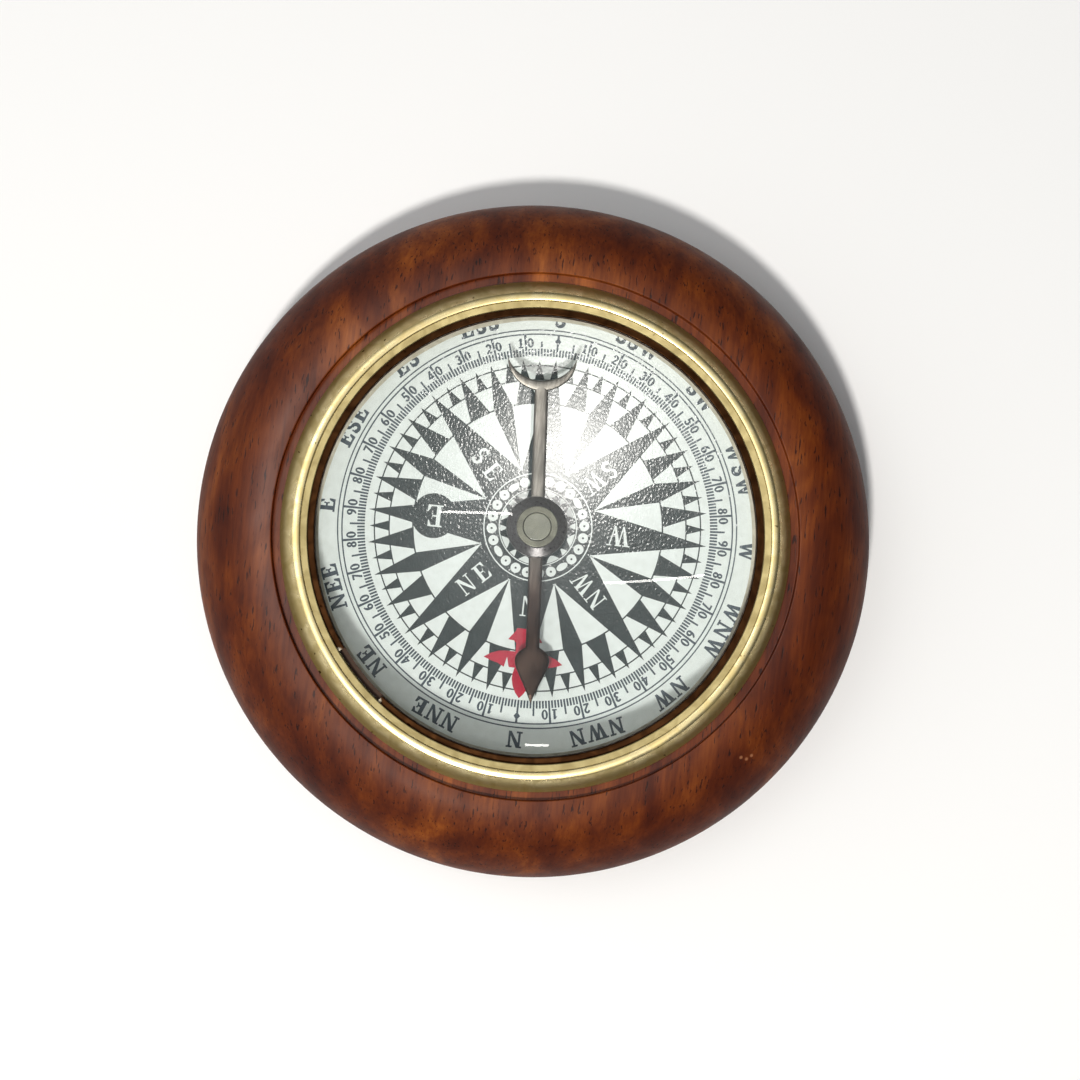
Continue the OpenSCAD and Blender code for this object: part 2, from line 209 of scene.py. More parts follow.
world = bpy.data.worlds.new("studio")
world.use_nodes = True
world.cycles.sampling_method = "NONE"
bpy.context.scene.world = world
sky = world.node_tree
sky.nodes.clear()
sky_way = put(sky, "ShaderNodeTexCoord", {}).outputs["Generated"]
sky_parts = put(sky, "ShaderNodeSeparateXYZ", {"Vector": sky_way}).outputs
sky_brightest = {"Vector": sky_way, "Vector_001": (0.08, -0.06, 0.995)}
sky_lean = put(sky, "ShaderNodeVectorMath", sky_brightest, operation="DOT_PRODUCT").outputs["Value"]
sky_path = put(sky, "ShaderNodeLightPath", {}).outputs
soft = "SMOOTHSTEP"
sky_above = spread(sky, sky_lean, 0.84, 0.97, 0.0, 0.74, soft)
sky_east = spread(sky, sky_parts["X"], 0.05, 0.9, 0.08, 0.65, soft)
sky_low = spread(sky, sky_parts["Z"], 0.05, 0.42, 0.5, 0.0, soft)
sky_mirrored = reckon(sky, "LESS_THAN", sky_path["Diffuse Depth"], 0.5)
sky_sides = reckon(sky, "MULTIPLY_ADD", sky_low, sky_mirrored, sky_east)
sky_light = reckon(sky, "ADD", sky_above, sky_sides)
sky_turns = reckon(sky, "SUBTRACT", sky_path["Ray Depth"], sky_path["Transmission Depth"])
sky_seen = reckon(sky, "LESS_THAN", sky_turns, 1.5)
sky_mix = {"Factor_Float": sky_seen, "A_Float": sky_light, "B_Float": backdrop}
sky_strength = put(sky, "ShaderNodeMix", sky_mix).outputs[0]
sky_shade = put(sky, "ShaderNodeBackground", {"Color": backdrop_tone, "Strength": sky_strength})
put(sky, "ShaderNodeOutputWorld", {"Surface": sky_shade.outputs[0]})


def add_lamp(name, place, size, watts, shape="ELLIPSE", along=(1.0, 0.0, 0.0)):
    """A warm white lamp at a place in millimetres, aimed at the dial. Its first size lies along
    a direction, its second across it."""
    data = bpy.data.lights.new(name, "AREA")
    data.shape = shape
    data.size = size[0] * mm
    data.size_y = size[1] * mm
    data.energy = watts
    data.color = tone(255, 252, 247)[:3]
    lamp = bpy.data.objects.new(name, data)
    away = (Vector(place) - Vector((0.0, 0.0, 20.0))).normalized()
    across = (Vector(along) - away * away.dot(Vector(along))).normalized()
    turn = Matrix((across, away.cross(across), away)).transposed().to_4x4()
    lamp.matrix_world = Matrix.Translation(Vector(place) * mm) @ turn
    bpy.context.scene.collection.objects.link(lamp)
    return lamp


key_lamp = add_lamp("key_lamp", (66.0, 266.0, 680.0), (60.0, 60.0), 4.0)
side_lamp = add_lamp("side_lamp", (290.0, -60.0, 640.0), (320.0, 320.0), 0.42)
camera_lamp = add_lamp("camera_lamp", (-8.0, 18.5, 322.0), (20.0, 25.0), 0.06)
hub_lamp = add_lamp("hub_lamp", (-40.0, 273.0, 137.0), (60.0, 60.0), 0.5)
glare_lamp = add_lamp("glare_lamp", (-3.4, -12.0, 84.4), (5.0, 5.0), 0.014)
sheen_lamp = add_lamp("sheen_lamp", (227.0, -48.0, 591.0), (200.0, 200.0), 7.0)
for gloss_lamp in (glare_lamp, sheen_lamp):
    gloss_lamp.visible_camera = False
    gloss_lamp.visible_diffuse = False
tube = "RECTANGLE"
east_tube = add_lamp("east_tube", (370.0, -151.0, 1200.0), (470.0, 17.0), 0.5, tube, (469.0, 20.0, 0.0))
west_tube = add_lamp("west_tube", (-912.0, 158.0, 1200.0), (838.0, 17.0), 0.9, tube, (834.0, 87.0, 0.0))
north_tube = add_lamp("north_tube", (-308.0, 2147.0, 1200.0), (253.0, 30.0), 0.5, tube)
for tube_lamp in (east_tube, west_tube, north_tube):
    tube_lamp.visible_diffuse = False
    tube_lamp.visible_transmission = False


# Felt: a disc of green wool felt, stamped out and glued into the seat under the case.
# Its cut edge stands a little below the wood and carries the compass
def rounded(corners, radii, steps=6):
    """A closed outline with rounded corners. Each corner gives way to an arc that touches both
    of its sides, with one more point on each side past the arc, which keeps the flats flat."""
    corners = np.array(corners, float)
    radii = np.broadcast_to(np.array(radii, float), len(corners))
    back = np.roll(corners, 1, 0) - corners
    ahead = np.roll(corners, -1, 0) - corners
    back /= np.linalg.norm(back, axis=1, keepdims=True)
    ahead /= np.linalg.norm(ahead, axis=1, keepdims=True)
    half = np.arccos(np.clip((back * ahead).sum(1), -1, 1)) / 2
    touch = (radii / np.tan(half))[:, None]
    inward = back + ahead
    inward /= np.linalg.norm(inward, axis=1, keepdims=True)
    middle = corners + inward * (radii / np.sin(half))[:, None]
    arc_angle = (np.pi - 2 * half)[:, None, None]
    step = np.linspace(0, 1, steps + 1)[:, None]
    start = (corners + back * touch - middle)[:, None]
    end = (corners + ahead * touch - middle)[:, None]
    arc = np.sin((1 - step) * arc_angle) * start + np.sin(step * arc_angle) * end
    arc = arc / np.sin(arc_angle) + middle[:, None]
    guard = 0.4 * radii[:, None]
    before = corners + back * (touch + guard)
    after = corners + ahead * (touch + guard)
    return np.concatenate([before[:, None], arc, after[:, None]], 1).reshape(-1, 2)


def oblong(in_r, out_r, low, high):
    """The four corners of a flat ring's section, or of a disc's."""
    return [(in_r, low), (out_r, low), (out_r, high), (in_r, high)]


def turned(outline, around=256, north=0.0):
    """Carries an outline of radius and height in millimetres round an upright axis. North moves
    the axis, or each circle's own middle, along the card's north."""
    angle = np.linspace(0, 2 * np.pi, around, endpoint=False)
    radius = outline[:, :1]
    x = radius * np.cos(angle)
    y = radius * np.sin(angle) + np.broadcast_to(north, len(outline))[:, None]
    z = np.broadcast_to(outline[:, 1:], x.shape)
    return np.stack([x, y, z], -1)[None] * mm, True, True


def speckle(tree, scale, detail=3.0, stretch=(1.0, 1.0, 1.0), distortion=0.0):
    """Noise on the object's own coordinates, in spots per metre, stretched along an axis."""
    mapping = put(tree, "ShaderNodeMapping", {"Vector": own_place(tree), "Scale": stretch}).outputs[0]
    inputs = {"Vector": mapping, "Scale": scale, "Detail": detail, "Distortion": distortion}
    return put(tree, "ShaderNodeTexNoise", inputs).outputs[0]


def ramp(tree, value, *stops):
    """Turns a value into a colour, by stops of a place and a colour."""
    node = put(tree, "ShaderNodeValToRGB", {"Fac": value})
    places = node.color_ramp.elements
    while len(places) < len(stops):
        places.new(1.0)
    for element, (place, colour) in zip(places, stops):
        element.position = place
        element.color = colour
    return node.outputs[0]


def mixed(tree, share, first, second, way="MIX"):
    """Mixes two colours by a share of the second."""
    inputs = {"Factor_Float": share, "A_Color": first, "B_Color": second}
    node = put(tree, "ShaderNodeMix", inputs, data_type="RGBA", blend_type=way)
    return next(s for s in node.outputs if s.identifier == "Result_Color")


def roughen(tree, shader, height, depth, strength=1.0):
    """Bumps a shader's surface by a height, with its depth in millimetres."""
    inputs = {"Height": height, "Distance": depth * mm, "Strength": strength}
    tree.links.new(put(tree, "ShaderNodeBump", inputs).outputs[0], shader.inputs["Normal"])


def painted(tree, shader, colour, rough=None):
    """Links a colour and, where there is one, a roughness to a shader."""
    tree.links.new(colour, shader.inputs["Base Color"])
    if rough is not None:
        tree.links.new(rough, shader.inputs["Roughness"])


def fit(piece, body, slot, finish, *nodes):
    """Gives a piece its finish and its body, and hides the nodes that it stands for. Its slot is not used.
    """
    piece.data.materials.append(finish)
    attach(piece, body)
    if nodes:
        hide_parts(*nodes)


felt_r = 36.5
felt_t = 1.5
felt_grid = turned(rounded(oblong(0, felt_r, 0, felt_t), (0, 0.35, 0.2, 0), 8), 240)
felt_wave = np.arctan2(felt_grid[0][..., 1], felt_grid[0][..., 0])
felt_fray = 1 - 0.0012 * (1 + np.sin(17 * felt_wave) * np.sin(41 * felt_wave + 1))
felt_grid[0][..., :2] *= felt_fray[..., None]
felt = add_mesh("base_felt_disc", felt_grid)
felt_finish, felt_tree, felt_shader = finish_of(
    "green felt",
    {"Roughness": 0.95, "Sheen Weight": 0.35, "Sheen Roughness": 0.5, "Sheen Tint": tone(120, 170, 130)},
)
felt_fibre = speckle(felt_tree, 2600, 6, (1, 1, 1), 1.5)
felt_patch = speckle(felt_tree, 130, 3)
felt_colour = ramp(
    felt_tree, felt_fibre, (0.3, tone(20, 46, 30)), (0.55, tone(34, 74, 48)), (0.75, tone(62, 104, 74))
)
clear = tone(255, 255, 255)
felt_shade = ramp(felt_tree, felt_patch, (0.3, tone(205, 215, 205)), (0.7, clear))
painted(felt_tree, felt_shader, mixed(felt_tree, 0.7, felt_colour, felt_shade, "MULTIPLY"))
roughen(felt_tree, felt_shader, felt_fibre, 0.25)
fit(felt, "case", "green_felt", felt_finish, "base_felt")

# Case: one piece of reddish hardwood, turned on a lathe to a half-round rim with a stepped
# recess, then sanded and oiled to a dull sheen. Its fibres run from the card's north to south,
# so pores show as streaks on its sides and as dots where the rim cuts across them
case_r = 50.0
case_low = 0.8
case_high = 24.8
rim_round = 11.8
step_r = 38.0
ledge_z = 23.5
recess_r = 35.15
bowl_z = 11.5
pivot_north = -1.2
pocket_r = 5.5
pocket_z = 8.0
felt_seat_r = 36.6
case_steps = 14
case_corners = [
    (0, felt_t), (felt_seat_r, felt_t), (felt_seat_r, case_low), (case_r, case_low),
    (case_r, case_high), (step_r, case_high), (step_r, ledge_z), (recess_r, ledge_z),
    (recess_r, bowl_z), (pocket_r, bowl_z), (pocket_r, pocket_z), (0, pocket_z),
]
case_radii = (0, 0, 0.15, rim_round, rim_round, 0.14, 0.12, 0.2, 0.1, 0.1, 0.1, 0)
case_north = [0] * 9 + [pivot_north] * 3
case_outline = rounded(case_corners, case_radii, case_steps).reshape(len(case_corners), -1, 2)
# The two large roundings fill their sides, so their outer points move onto the arcs
large_rounds = [3, 4]
case_outline[large_rounds, 0] = case_outline[large_rounds, 1]
case_outline[large_rounds, -1] = case_outline[large_rounds, -2]
case_outline = case_outline.reshape(-1, 2)
case = add_mesh("turned_case", turned(case_outline, 384, np.repeat(case_north, case_steps + 3)))


def spotted(tree, colour, spots, inner, outer, share, mark):
    """Lays round marks over a colour, at their full share inside an inner radius and gone at an
    outer one, both in millimetres."""
    for spot in spots:
        ends = {"Vector": own_place(tree), "Vector_001": spot}
        away = put(tree, "ShaderNodeVectorMath", ends, operation="DISTANCE").outputs["Value"]
        fade = spread(tree, away, inner * mm, outer * mm, share, 0.0)
        colour = mixed(tree, fade, colour, mark)
    return colour


wood_finish, wood_tree, wood_shader = finish_of(
    "oiled hardwood", {"Specular IOR Level": 0.1, "Coat Weight": 0.02, "Coat Roughness": 0.3}
)
wood_figure = speckle(wood_tree, 75, 5, (1, 0.42, 1), 1.2)
wood_blotch = speckle(wood_tree, 210, 4, (1, 0.5, 1), 0.8)
wood_streak = speckle(wood_tree, 420, 4, (1, 0.07, 1), 0.4)
wood_fibre = speckle(wood_tree, 2300, 3, (1, 0.05, 1))
wood_pore = speckle(wood_tree, 2900, 2, (1, 0.14, 1))
wood_colour = ramp(
    wood_tree,
    wood_figure,
    (0.34, tone(93, 37, 6)),
    (0.46, tone(110, 49, 10)),
    (0.56, tone(126, 62, 15)),
    (0.70, tone(162, 91, 32)),
)
wood_shade = ramp(wood_tree, wood_blotch, (0.36, tone(206, 184, 168)), (0.58, clear))
wood_band = ramp(wood_tree, wood_streak, (0.38, tone(196, 172, 156)), (0.6, clear))
wood_line = ramp(wood_tree, wood_fibre, (0.36, tone(205, 186, 172)), (0.6, clear))
wood_hole = ramp(wood_tree, wood_pore, (0.62, clear), (0.69, tone(106, 78, 62)))
wood_reach = spread(wood_tree, axis_distance(wood_tree), step_r * mm, case_r * mm, 0.0, 1.0)
# The rim's colour is painted darker towards its outer edge
wood_darker_outwards = ramp(
    wood_tree, wood_reach, (0.05, clear), (0.25, tone(242, 238, 234)), (0.6, tone(212, 200, 190))
)
wood_layers = (
    (0.6, wood_shade), (0.7, wood_band), (0.6, wood_line), (0.9, wood_hole), (1.0, wood_darker_outwards)
)
for wood_share, wood_layer in wood_layers:
    wood_colour = mixed(wood_tree, wood_share, wood_colour, wood_layer, "MULTIPLY")
nicks = np.array([(-32.78, 28.47, 23.59), (-33.64, 28.61, 23.18), (-34.32, 28.04, 23.09)]) * mm
wood_colour = spotted(wood_tree, wood_colour, nicks.tolist(), 0.12, 0.34, 0.8, tone(158, 104, 70))
painted(wood_tree, wood_shader, wood_colour, spread(wood_tree, wood_blotch, 0.3, 0.7, 0.62, 0.5))
roughen(wood_tree, wood_shader, wood_hole, 0.03, 0.5)
fit(case, "case", "turned_wood", wood_finish, "wood_body")

# Bowl: a cup turned from brass, with a groove for the spring ring inside its mouth. Three
# screws hold it down, and its narrow rim shows as a dull sandy lip beside the bezel
bowl_in_r = 32.8
bowl_out_r = 33.75
bowl_top_z = 25.6
lip_z = 25.48
plate_z = 13.1
land_z = 23.8
groove_r = 33.25
groove_top_z = 24.8
post_hole_r = 1.45
bowl_steps = 4
bowl_corners = [
    (post_hole_r, bowl_z), (post_hole_r, plate_z), (bowl_in_r, plate_z), (bowl_in_r, land_z),
    (groove_r, land_z), (groove_r, groove_top_z), (bowl_in_r, groove_top_z), (bowl_in_r, lip_z),
    (bowl_out_r, bowl_top_z), (bowl_out_r, bowl_z),
]
bowl_radii = (0, 0, 0.1, 0.05, 0.05, 0.05, 0.05, 0.1, 0.03, 0.3)
bowl_north = [pivot_north] * 2 + [0] * 8
bowl = add_mesh(
    "brass_bowl",
    turned(rounded(bowl_corners, bowl_radii, bowl_steps), 256, np.repeat(bowl_north, bowl_steps + 3)),
)


def own_axis(tree, axis):
    """One coordinate of the place on an object."""
    return put(tree, "ShaderNodeSeparateXYZ", {"Vector": own_place(tree)}).outputs[axis]


def brass_of(name, bright, dull, rough_low, rough_high, scratch, dull_r=None, glint_places=()):
    """A turned metal: bright in places and dull in others, with small dark pits, fine scratches
    and the rings that the lathe leaves, which are noise over radius and height alone. Beyond
    a dull radius, in millimetres, it is unpolished and tarnished, and at glint places pale
    spots are painted on as highlights."""
    made, tree, shader = finish_of(name, {"Metallic": 1.0})
    patch = speckle(tree, 420, 5, (1, 1, 1), 0.8)
    fine = speckle(tree, 5200, 3)
    pit = ramp(tree, speckle(tree, 900, 1), (0.74, clear), (0.78, tone(120, 104, 80)))
    radius = axis_distance(tree)
    ring = put(tree, "ShaderNodeCombineXYZ", {"X": radius, "Z": own_axis(tree, "Z")})
    lathe = put(tree, "ShaderNodeTexNoise", {"Vector": ring.outputs[0], "Scale": 7000, "Detail": 2})
    colour = mixed(tree, 1.0, ramp(tree, patch, (0.36, dull), (0.62, bright)), pit, "MULTIPLY")
    rough = spread(tree, patch, 0.3, 0.7, rough_high, rough_low)
    if dull_r:
        tarnish = spread(tree, radius, dull_r * mm, (dull_r + 1.2) * mm, 0.0, 1.0)
        brown = mixed(tree, 1.0, colour, tone(200, 192, 170), "MULTIPLY")
        colour = mixed(tree, tarnish, colour, brown)
        rough = reckon(tree, "MULTIPLY_ADD", tarnish, 0.28, rough)
    colour = spotted(tree, colour, glint_places, 0.3, 0.65, 0.9, tone(172, 164, 146))
    painted(tree, shader, colour, rough)
    roughen(tree, shader, mixed(tree, 0.5, fine, lathe.outputs[0]), scratch)
    return made


lip_finish = brass_of("sandy bowl brass", tone(180, 166, 120), tone(168, 153, 108), 0.55, 0.68, 0.012)
fit(bowl, "case", "bowl_brass", lip_finish, "compass_bowl")


# Bowl screws, dial plate and pivot: countersunk brass screws, the brass plate behind the card,
# and a brass post through card, plate and bowl, drawn down by a nut and washer, with a steel pin
def refinish(node, finish):
    """Gives a node of the frame a better finish and leaves its shape alone."""
    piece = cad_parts[node]
    for place in piece.material_slots:
        place.link = "OBJECT"
        place.material = finish


def grained(name, settings, grain, deep, pale, rough=None, depth=None):
    """A finish whose colour follows one grain, given as its scale, detail and stretch. So do the
    roughness, between two limits, and the surface, by a depth in millimetres, if they are given."""
    made, tree, shader = finish_of(name, settings)
    height = speckle(tree, *grain)
    painted(tree, shader, ramp(tree, height, (0.3, deep), (0.7, pale)))
    if rough:
        tree.links.new(spread(tree, height, 0.3, 0.7, *rough), shader.inputs["Roughness"])
    if depth:
        roughen(tree, shader, height, depth)
    return made


fastener_finish = brass_of("fastener brass", tone(206, 180, 118), tone(160, 130, 72), 0.3, 0.45, 0.008)
for hidden_node in ("bowl_screws", "dial_plate", "pivot_post", "pivot_washer", "pivot_nut"):
    refinish(hidden_node, fastener_finish)
pin_grain = (3000, 3, (1, 1, 0.1))
pin_tones = (tone(120, 122, 126), tone(190, 192, 196))
pin_finish = grained("hardened steel", {"Metallic": 1.0}, pin_grain, *pin_tones, (0.2, 0.32))
refinish("pivot_pin", pin_finish)

# Card: a disc of coated white paper, held flat on its plate. The rose is printed on it in a
# dark slate ink, with a red lily at the north, a little off the pivot's middle
card_r = 32.7
card_z = 14.1
card_top_z = 14.4
print_middle = np.array([-0.25, -1.49])
card_corners = oblong(post_hole_r, card_r, card_z, card_top_z)
card_north = np.repeat([pivot_north, 0, 0, pivot_north], 5)
card = add_mesh("printed_card", turned(rounded(card_corners, 0.03, 2), 256, card_north))


def printed_finish(name, pale, deep, rough, grain, lacquer=0.0, edge=None):
    """Coated paper or ink: a semi-gloss film over a fine grain, its depth in millimetres, under
    a share of smooth lacquer. Outside the rose, where the scale and the names are printed, an
    edge colour takes over: a painted colour fringe, lighter and bluer, from the glass's edge."""
    made, tree, shader = finish_of(
        name,
        {"Roughness": rough, "Specular IOR Level": 0.5 - lacquer / 2, "Coat Weight": lacquer,
         "Coat Roughness": 0.15},
    )
    mottle = speckle(tree, 900, 5)
    pores = speckle(tree, 3700, 0.0, (1, 0.7, 1))
    colour = ramp(tree, mottle, (0.3, deep), (0.7, pale))
    if edge:
        away = axis_distance(tree, *print_middle.tolist())
        share = spread(tree, away, 22.7 * mm, 23.3 * mm, 0.0, 1.0)
        colour = mixed(tree, share, colour, edge)
    painted(tree, shader, colour)
    roughen(tree, shader, pores, grain)
    return made


paper_finish = printed_finish("coated paper", tone(232, 240, 238), tone(222, 230, 227), 0.2, 0.008, 0.4)
# Outside the rose the ink is painted lighter and bluer, for the colour fringes near the glass's edge
ink_fringe_tint = tone(76, 87, 95)
ink_finish = printed_finish("slate ink", tone(50, 61, 61), tone(39, 49, 49), 0.14, 0.025, 0.4, ink_fringe_tint)
red_finish = printed_finish("red ink", tone(190, 34, 62), tone(170, 24, 50), 0.24, 0.012, 0.4)
fit(card, "case", "card_paper", paper_finish, "compass_card")


def on_card(ribbon, bearing):
    """Turns a ribbon, a row of pairs of points that are given as across and outwards, to one or
    more bearings in degrees clockwise from north."""
    angle = np.radians(np.atleast_1d(bearing))[:, None, None]
    across = ribbon[..., 0]
    outwards = ribbon[..., 1]
    x = across * np.cos(angle) + outwards * np.sin(angle)
    y = outwards * np.cos(angle) - across * np.sin(angle)
    return np.stack([x, y], -1) + print_middle


def film(ribbon, low, high, closed=False):
    """A printed shape as a thin closed film. A ribbon holds a strip's two edges; each pair of
    edge points becomes a section from low to high, and an open end closes on its middle."""
    left = ribbon[..., 0, :]
    right = ribbon[..., 1, :]
    flat = np.stack([left, left, right, right], -2)
    height = np.broadcast_to(np.array([low, high, high, low]), flat.shape[:-1])
    section = np.concatenate([flat, height[..., None]], -1) * mm
    if not closed:
        middle = section.mean(2, keepdims=True)
        ends = np.broadcast_to(middle, section.shape)
        section = np.concatenate([ends[:, :1], section, ends[:, -1:]], 1)
    return section, closed, True


def hoop(inner, outer, bearings=(0,), outwards=0.0, steps=180):
    """A printed ring or, with inner 0, a disc: two circles carried round a full turn."""
    angle = np.linspace(0, 2 * np.pi, steps, endpoint=False)[:, None]
    radius = np.array([inner, outer])
    points = np.stack([radius * np.sin(angle), radius * np.cos(angle) + outwards], -1)
    return on_card(points, bearings)


def strip(rows, bearings):
    """A printed shape symmetric about a ray: rows of half width and distance from the middle."""
    rows = np.array(rows, float)
    return on_card(np.stack([rows * (-1, 1), rows], 1), bearings)


# The rose itself: eight long rays, eight kites between them, sixteen and thirty-two teeth, then
# the strokes of the degree scale and a small mark at north and south
eighths = np.arange(8) * 45.0
degrees = np.arange(360)
fives = degrees[(degrees % 5 == 0) & (degrees % 10 != 0)]
tens = degrees[degrees % 10 == 0]
ones = degrees[degrees % 5 != 0]
black = [
    strip([(2.887, 7.245), (0, 22.64)], eighths),
    strip([(0, 7.68), (1.29, 16.31), (0, 22.64)], eighths + 22.5),
    strip([(1.433, 16.38), (0, 22.64)], np.arange(16) * 22.5 + 11.25),
    strip([(0.66, 19.70), (0, 22.36)], np.arange(32) * 11.25 + 5.625),
    strip([(0.13, 23.04), (0.12, 24.10)], ones),
    strip([(0.13, 23.04), (0.12, 25.16)], fives),
    strip([(0.13, 23.04), (0.13, 24.6), (0.16, 26.3)], tens),
    strip([(0, 24.69), (0.435, 25.29), (0, 25.88)], (0, 180)),
]
black_rings = [
    hoop(0, 7.72),
    hoop(0, 2.95, (90,), 13.76),
    hoop(16.34, 16.54),
    hoop(19.58, 19.76),
    hoop(21.61, 21.79),
    hoop(26.18, 26.38),
    hoop(26.82, 27.00),
]


def slab(low_left, low_right, low, high_left, high_right, high):
    """A straight stroke of a letter between two level cuts."""
    return np.array([[(low_left, low), (low_right, low)], [(high_left, high), (high_right, high)]])


def bar(left, right, low, high):
    """A straight stroke with upright sides."""
    return slab(left, right, low, left, right, high)


def curve(middle, radii, angle, half):
    """A stroke along an ellipse, with a half width at each angle."""
    way = np.stack([np.cos(angle), np.sin(angle)], -1)
    line = np.array(middle) + way * np.array(radii)
    return np.stack([line - way * half[:, None], line + way * half[:, None]], 1)


def bend(middle, radii, start, end, thin, thick, steps=20):
    """A curved stroke: an arc of an ellipse, in degrees, whose width swells between its ends."""
    share = np.linspace(0, 1, steps)
    angle = np.radians(start + (end - start) * share)
    return curve(middle, radii, angle, (thin + (thick - thin) * np.sin(np.pi * share)) / 2)


def loop(middle, radii, thin, thick, steps=24):
    """A closed bow of a figure: an ellipse that is thick at its sides and thin above and below."""
    angle = np.linspace(0, 2 * np.pi, steps)
    return curve(middle, radii, angle, (thin + (thick - thin) * np.cos(angle) ** 2) / 2)


# Roman capitals of the compass points, each of height 1, with the width that it takes
capitals = {
    "N": (0.86, [
        bar(0.10, 0.17, 0, 1), bar(0.68, 0.75, 0, 1), slab(0.64, 0.75, 0, 0.04, 0.27, 1),
        bar(0, 0.29, 0, 0.06), bar(0.56, 0.86, 0.94, 1), bar(0, 0.14, 0.94, 1),
    ]),
    "E": (0.74, [
        bar(0.10, 0.29, 0, 1), bar(0, 0.66, 0.93, 1), bar(0, 0.70, 0, 0.07), bar(0.29, 0.48, 0.47, 0.54),
        slab(0.63, 0.66, 0.70, 0.50, 0.66, 0.94), slab(0.54, 0.71, 0.06, 0.68, 0.73, 0.32),
        slab(0.48, 0.52, 0.36, 0.46, 0.47, 0.50), slab(0.46, 0.47, 0.51, 0.48, 0.52, 0.65),
    ]),
    "S": (0.62, [
        bend((0.31, 0.74), (0.20, 0.215), 25, 275, 0.07, 0.16),
        bend((0.31, 0.265), (0.215, 0.225), 95, -155, 0.16, 0.17),
        slab(0.49, 0.52, 0.66, 0.50, 0.54, 0.98), bar(0.08, 0.12, 0.02, 0.34),
    ]),
    "W": (1.22, [
        slab(0.34, 0.42, 0, 0.08, 0.29, 1), slab(0.36, 0.42, 0, 0.56, 0.63, 1),
        slab(0.77, 0.85, 0, 0.50, 0.71, 1), slab(0.79, 0.85, 0, 1.02, 1.09, 1),
        bar(0, 0.38, 0.94, 1), bar(0.44, 0.76, 0.94, 1), bar(0.93, 1.20, 0.94, 1),
    ]),
}
figures = {
    "0": [loop((0.28, 0.5), (0.21, 0.44), 0.10, 0.16)],
    "1": [bar(0.21, 0.37, 0, 1), bar(0.08, 0.48, 0, 0.08), slab(0.08, 0.16, 0.78, 0.26, 0.37, 1)],
    "2": [
        bend((0.27, 0.71), (0.19, 0.23), 165, -35, 0.13, 0.14), slab(0.03, 0.17, 0.05, 0.36, 0.51, 0.62),
        bar(0.03, 0.52, 0, 0.13),
    ],
    "3": [
        bend((0.25, 0.73), (0.19, 0.21), 150, -90, 0.11, 0.15),
        bend((0.25, 0.28), (0.21, 0.23), 90, -150, 0.11, 0.17),
    ],
    "4": [bar(0.33, 0.47, 0, 1), bar(0, 0.56, 0.24, 0.34), slab(0, 0.12, 0.28, 0.33, 0.42, 1)],
    "5": [
        slab(0.10, 0.50, 0.88, 0.10, 0.52, 1), slab(0.08, 0.18, 0.50, 0.10, 0.20, 0.95),
        bend((0.24, 0.31), (0.21, 0.26), 125, -150, 0.11, 0.17),
    ],
    "6": [
        loop((0.28, 0.29), (0.19, 0.23), 0.10, 0.16), bend((0.42, 0.36), (0.34, 0.58), 100, 195, 0.09, 0.16),
    ],
    "7": [bar(0.04, 0.52, 0.87, 1), slab(0.13, 0.29, 0, 0.41, 0.52, 0.9)],
    "8": [loop((0.28, 0.74), (0.16, 0.2), 0.09, 0.14), loop((0.28, 0.27), (0.19, 0.22), 0.1, 0.16)],
    "9": [
        loop((0.28, 0.71), (0.19, 0.23), 0.10, 0.16), bend((0.14, 0.64), (0.34, 0.58), 280, 375, 0.09, 0.16),
    ],
}


def lettered(strokes, width, height, across, outwards, bearing, lean=0.0, weight=0.0):
    """Sets the strokes of a letter of height 1 on the card. Its middle goes across and outwards
    on a ray at a bearing, and lean turns it clockwise in its own plane, in degrees. Weight
    moves the edges and the ends of each stroke outwards by a share of the height."""
    turn = np.radians(lean)
    placed = []
    for stroke in strokes:
        wide = stroke[:, 1] - stroke[:, 0]
        wide /= np.linalg.norm(wide, axis=1, keepdims=True)
        spine = np.diff(stroke.mean(1), axis=0)[[0, -1]]
        spine /= np.linalg.norm(spine, axis=1, keepdims=True)
        grown = stroke + weight * np.stack([-wide, wide], 1)
        grown[[0, -1]] += weight * (spine * ((-1,), (1,)))[:, None]
        local = (grown - (width / 2, 0.5)) * height
        x = local[..., 0] * np.cos(turn) + local[..., 1] * np.sin(turn) + across
        y = local[..., 1] * np.cos(turn) - local[..., 0] * np.sin(turn) + outwards
        placed.append(on_card(np.stack([x, y], -1), bearing))
    return placed


# Degree figures on both sides of each ten, counted both ways from north and from south
figure_h = 1.34
figure_w = 0.56
figure_out = 24.98
figure_aside = 0.66
for bearing in tens[tens % 180 != 0]:
    count = int(min(bearing % 180, 180 - bearing % 180))
    for sign, side in ((str(count // 10), -1), ("0", 1)):
        aside = side * figure_aside
        black += lettered(figures[sign], figure_w, figure_h, aside, figure_out, bearing, 0, 0.035)

# Names of the points around the edge, their tops outwards
names = "N NNE NE NEE E ESE ES ESS S SSW SW WSW W WNW NW NWN".split()
name_h = 2.28
name_out = 28.68
name_gap = 0.16
for number, name in enumerate(names):
    widths = [capitals[letter][0] for letter in name]
    run = np.cumsum([0.0] + [w + name_gap for w in widths])
    for letter, width, start in zip(name, widths, run):
        aside = (start + width / 2 - (run[-1] - name_gap) / 2) * name_h
        black += lettered(capitals[letter][1], width, name_h, aside, name_out, number * 22.5, 0, 0.03)

# Each shape of the print lies a little above the one before it, so that no two faces share a level
ink_low = card_top_z - 0.01
ink_step = 0.02
ink_level = 0.0015
black_z = card_top_z + ink_step / 2
ink_levels = 9
black_films = [
    film(ribbon, ink_low, black_z + n % ink_levels * ink_level) for n, ribbon in enumerate(black)
]
black_films += [
    film(ribbon, ink_low, black_z + (ink_levels + n) * ink_level, True)
    for n, ribbon in enumerate(black_rings)
]
black_print = add_mesh("black_print", *black_films)
fit(black_print, "case", "card_paper", ink_finish)

